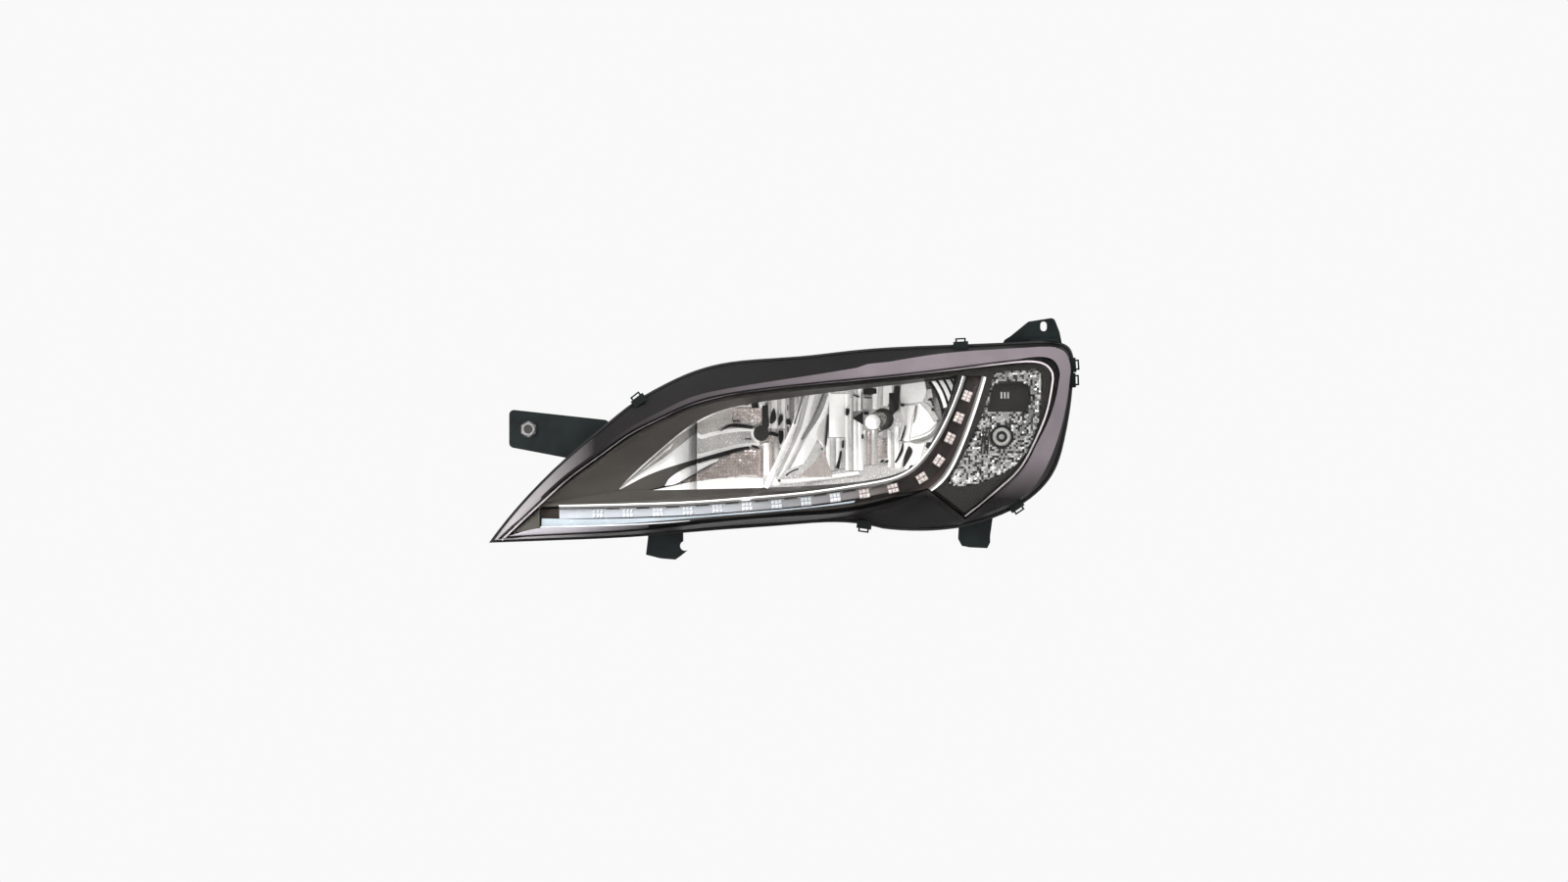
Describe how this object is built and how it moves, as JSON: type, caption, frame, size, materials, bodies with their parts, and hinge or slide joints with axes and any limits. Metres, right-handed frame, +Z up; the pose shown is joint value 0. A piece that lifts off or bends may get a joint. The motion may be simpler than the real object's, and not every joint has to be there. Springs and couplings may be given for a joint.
{
  "type": "car headlight assembly",
  "caption": "Swept left-hand headlight unit: clear lens over main reflectors that aim, an L-shaped running light strip and corner lamps, in a housing with arm, tab and feet.",
  "frame": {"origin": "centre of the M8 nut on the inner mounting arm, where it meets the arm's front face", "axes": "+X along the lamp to its outer end, +Y back into the vehicle, +Z up"},
  "size_m": [0.7229, 0.3522, 0.2973],
  "materials": {
    "black_housing": "moulded black polypropylene, fine grain",
    "clear_lens": "hard-coated clear polycarbonate",
    "seal_rubber": "dull black sealing rubber",
    "trim_grey": "satin dark grey-brown moulded trim",
    "bright_metal": "vacuum-metallised mirror",
    "board": "white solder-mask circuit board",
    "led_die": "phosphor-yellow LED package",
    "milky_guide": "translucent pale blue-grey light guide",
    "clear_inner": "clear moulded optic",
    "bulb_amber": "faint amber coated glass",
    "bulb_clear": "clear quartz glass",
    "base_metal": "stamped steel bulb base",
    "carrier_grey": "glass-filled grey plastic",
    "holder_grey": "light grey heat-proof plastic",
    "natural_plastic": "natural white acetal",
    "steel_bright": "bright zinc-plated steel",
    "steel_black": "black powder-coated steel",
    "shield_black": "heat-proof matt black",
    "pin_tin": "tin-plated brass",
    "module_alloy": "die-cast aluminium"
  },
  "bodies": {
    "lamp_body": {"housing": "black_housing", "lens": "clear_lens", "lens_seal": "seal_rubber", "trim_bezel": "trim_grey", "drl_inner_blade": "bright_metal", "drl_outer_blade": "bright_metal", "drl_notch_blade": "bright_metal", "drl_cup_strip": "bright_metal", "drl_led_board": "board", "drl_leds": "led_die", "drl_light_guide": "milky_guide", "drl_strip_lens": "clear_inner", "wing_reflector": "bright_metal", "low_beam_louvres": "bright_metal", "corner_reflector": "bright_metal", "corner_inner_lens": "clear_inner", "pivot_stud": "steel_bright", "cover_gaskets": "seal_rubber", "levelling_motor": "carrier_grey", "connector_socket": "carrier_grey", "connector_pins": "pin_tin", "led_driver_module": "module_alloy", "rear_wall_screws": "steel_bright", "breather_caps": "seal_rubber", "inner_arm": "steel_black", "arm_nut": "steel_bright", "arm_screws": "steel_bright", "lower_feet": "steel_black", "rim_clips": "steel_black", "upper_tab": "black_housing"},
    "aim_frame": {"carrier_ball_sockets": "natural_plastic"},
    "reflectors": {"reflector_carrier": "carrier_grey", "high_beam_reflector": "bright_metal", "low_beam_reflector": "bright_metal", "main_bulb_glass": "bulb_clear", "main_bulb_base": "base_metal", "main_bulb_plug": "black_housing", "bulb_retaining_spring": "steel_bright", "high_beam_shield": "shield_black", "low_beam_shield": "shield_black"},
    "levelling_rod": {"levelling_rod": "natural_plastic"},
    "levelling_knob": {"levelling_knob": "natural_plastic"},
    "aim_spindle": {"aim_spindle": "steel_bright"},
    "aim_knob": {"aim_knob": "natural_plastic"},
    "high_beam_cover": {"high_beam_cover": "seal_rubber"},
    "low_beam_cover": {"low_beam_cover": "seal_rubber"},
    "turn_signal_lamp": {"turn_signal_holder": "holder_grey", "turn_signal_bulb": "bulb_amber"},
    "side_light_lamp": {"side_light_holder": "holder_grey", "side_light_bulb": "bulb_clear"}
  },
  "joints": [
    {"name": "carrier_yaw", "type": "hinge", "parent": "lamp_body", "child": "aim_frame", "pos_m": [0.3594, 0.137, -0.0558], "axis": [0, 0, 1], "range_deg": [-2, 2]},
    {"name": "reflector_pitch", "type": "hinge", "parent": "aim_frame", "child": "reflectors", "pos_m": [0.3594, 0.137, -0.0558], "axis": [1, 0, 0], "range_deg": [-2.5, 2.5]},
    {"name": "levelling_travel", "type": "slide", "parent": "lamp_body", "child": "levelling_rod", "axis": [0, 1, 0], "range_m": [-0.00446, 0.00446]},
    {"name": "levelling_knob_turn", "type": "hinge", "parent": "lamp_body", "child": "levelling_knob", "pos_m": [0.3594, 0.233, 0.0442], "axis": [0, 1, 0], "range_deg": [-315.2, 315.2]},
    {"name": "aim_travel", "type": "slide", "parent": "lamp_body", "child": "aim_spindle", "axis": [0, 1, 0], "range_m": [-0.0068, 0.0068]},
    {"name": "aim_knob_turn", "type": "hinge", "parent": "lamp_body", "child": "aim_knob", "pos_m": [0.1674, 0.203, -0.0558], "axis": [0, 1, 0], "range_deg": [-302.6, 302.6]},
    {"name": "high_beam_cover_pull", "type": "slide", "parent": "lamp_body", "child": "high_beam_cover", "axis": [0, 1, 0], "range_m": [0, 0.03]},
    {"name": "low_beam_cover_pull", "type": "slide", "parent": "lamp_body", "child": "low_beam_cover", "axis": [0, 1, 0], "range_m": [0, 0.03]},
    {"name": "turn_signal_twist", "type": "hinge", "parent": "lamp_body", "child": "turn_signal_lamp", "pos_m": [0.5974, 0.198, 0.0472], "axis": [0, 1, 0], "range_deg": [0, 45]},
    {"name": "side_light_twist", "type": "hinge", "parent": "lamp_body", "child": "side_light_lamp", "pos_m": [0.5804, 0.198, -0.0103], "axis": [0, 1, 0], "range_deg": [0, 45]}
  ],
  "couplings": [
    {"joint": "levelling_travel", "follows": "reflector_pitch", "m_per_rad": -0.1},
    {"joint": "levelling_knob_turn", "follows": "reflector_pitch", "ratio": 125.66},
    {"joint": "aim_travel", "follows": "carrier_yaw", "m_per_rad": -0.192},
    {"joint": "aim_knob_turn", "follows": "carrier_yaw", "ratio": 150.8}
  ]
}
